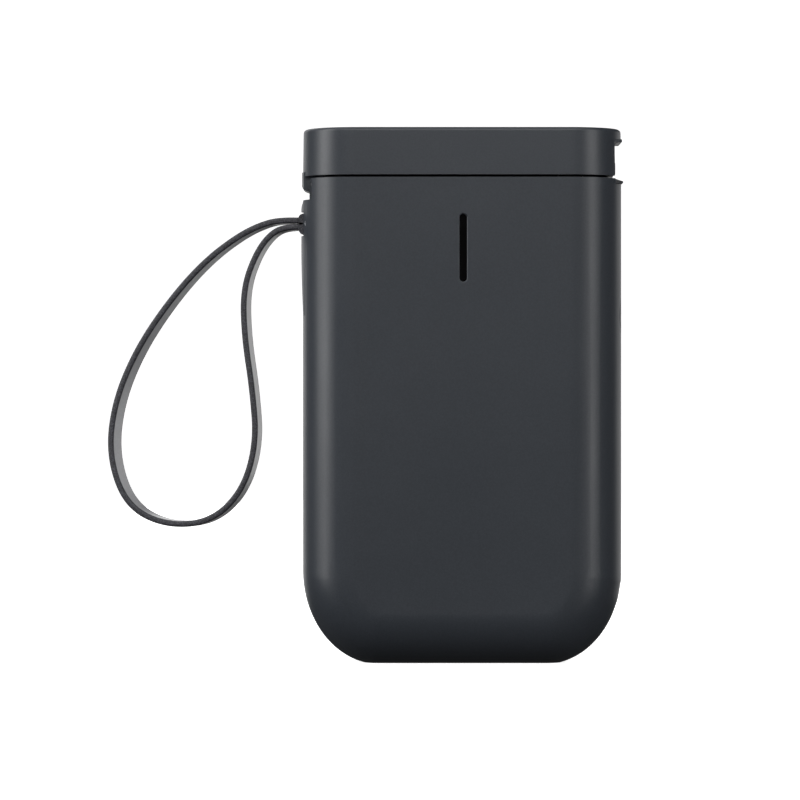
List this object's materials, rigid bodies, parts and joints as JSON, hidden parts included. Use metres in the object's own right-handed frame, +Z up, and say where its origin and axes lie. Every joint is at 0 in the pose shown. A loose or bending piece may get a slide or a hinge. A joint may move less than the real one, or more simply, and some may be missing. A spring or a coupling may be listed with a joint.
{
  "type": "label maker",
  "caption": "Pocket thermal label maker: slim two-shell case with a hinged lid, side label outlet, slit window, drop-in roll and leather wrist strap.",
  "frame": {"origin": "centre of the flat base", "axes": "+Z up, front face towards -Y, label outlet towards +X, lid hinge and wrist strap at -X"},
  "size_m": [0.125, 0.028, 0.129],
  "materials": {
    "case_plastic": "fine satin mould grain",
    "smoked_window": "polished, near black",
    "strap_leather": "smooth leather with raw edges",
    "dark_plastic": "moulded engineering plastic",
    "pin_steel": "ground steel",
    "screw_steel": "zinc plated",
    "sheet_steel": "stamped and deburred",
    "head_aluminium": "anodised",
    "head_ceramic": "glazed tile",
    "acetal": "acetal gear stock",
    "platen_rubber": "ground rubber",
    "label_paper": "coated label stock",
    "core_card": "rolled card",
    "circuit_board": "solder mask",
    "chip_black": "moulded packages",
    "battery_wrap": "shrink film",
    "foam": "closed-cell pad",
    "wire_red": "insulated wire",
    "ribbon_film": "flexible circuit film",
    "clear_pipe": "frosted light pipe"
  },
  "bodies": {
    "case": {"battery_leads": "wire_red", "battery_pack": "battery_wrap", "battery_pad": "foam", "battery_plug": "dark_plastic", "board_chips": "chip_black", "board_screws": "screw_steel", "case_screws": "screw_steel", "front_shell": "case_plastic", "gap_sensor": "dark_plastic", "gear_axles": "pin_steel", "head_pivot_pin": "pin_steel", "head_ribbon": "ribbon_film", "head_springs": "pin_steel", "hinge_pin": "pin_steel", "label_strip": "label_paper", "led_light_pipe": "clear_pipe", "main_board": "circuit_board", "motor_bracket": "sheet_steel", "motor_can": "sheet_steel", "motor_leads": "wire_red", "motor_screws": "screw_steel", "outlet_ledge": "dark_plastic", "print_chassis": "sheet_steel", "rear_shell": "case_plastic", "rfid_board": "circuit_board", "roll_bin": "dark_plastic", "shield_can": "sheet_steel", "strap_bar": "pin_steel", "switch_board": "circuit_board", "tact_switch": "chip_black", "usb_c_socket": "sheet_steel", "view_window": "smoked_window"},
    "lid": {"lid_cover": "case_plastic", "lid_frame": "dark_plastic", "lid_screws": "screw_steel", "platen_bushes": "acetal", "tear_bar": "sheet_steel"},
    "platen": {"platen_rubber": "platen_rubber", "platen_shaft": "pin_steel", "platen_gear": "acetal"},
    "motor_rotor": {"motor_shaft": "pin_steel", "motor_pinion": "acetal"},
    "reducer": {"reduction_gear": "acetal"},
    "idler": {"idler_gear": "acetal"},
    "label_roll": {"label_stock": "label_paper", "roll_core": "core_card"},
    "print_head": {"printhead_plate": "head_aluminium", "printhead_ceramic": "head_ceramic", "printhead_driver": "chip_black"},
    "button": {"power_button": "dark_plastic"},
    "strap": {"wrist_strap": "strap_leather"}
  },
  "joints": [
    {"name": "lid_hinge", "type": "hinge", "parent": "case", "child": "lid", "pos_m": [-0.0356, 0, 0.1156], "axis": [0, -1, 0], "range_deg": [0, 90]},
    {"name": "platen_spin", "type": "hinge", "parent": "lid", "child": "platen", "pos_m": [0.027, 0, 0.1213], "axis": [0, 1, 0], "continuous": true},
    {"name": "motor_spin", "type": "hinge", "parent": "case", "child": "motor_rotor", "pos_m": [0.0244, 0, 0.0975], "axis": [0, 1, 0], "continuous": true},
    {"name": "reducer_spin", "type": "hinge", "parent": "case", "child": "reducer", "pos_m": [0.0218, 0, 0.1072], "axis": [0, 1, 0], "continuous": true},
    {"name": "idler_spin", "type": "hinge", "parent": "case", "child": "idler", "pos_m": [0.026, 0, 0.1128], "axis": [0, 1, 0], "continuous": true},
    {"name": "roll_spin", "type": "hinge", "parent": "case", "child": "label_roll", "pos_m": [-0.008, 0, 0.096], "axis": [0, 1, 0], "continuous": true},
    {"name": "head_tilt", "type": "hinge", "parent": "case", "child": "print_head", "pos_m": [0.0204, 0, 0.1132], "axis": [0, 1, 0], "range_deg": [0, 3], "stiffness_Nm_per_rad": 0.35, "springref_deg": -2.86, "deforming": ["head_springs"]},
    {"name": "button_press", "type": "slide", "parent": "case", "child": "button", "axis": [-1, 0, 0], "range_m": [0, 0.0005], "stiffness_N_per_m": 800, "springref_m": -0.0006},
    {"name": "strap_swing", "type": "hinge", "parent": "case", "child": "strap", "pos_m": [-0.0372, 0, 0.1062], "axis": [0, 1, 0], "range_deg": [-8, 20]}
  ],
  "couplings": [
    {"joint": "motor_spin", "follows": "roll_spin", "ratio": 21.6},
    {"joint": "reducer_spin", "follows": "roll_spin", "ratio": -7.2},
    {"joint": "idler_spin", "follows": "roll_spin", "ratio": 4},
    {"joint": "platen_spin", "follows": "roll_spin", "ratio": -4.5}
  ]
}
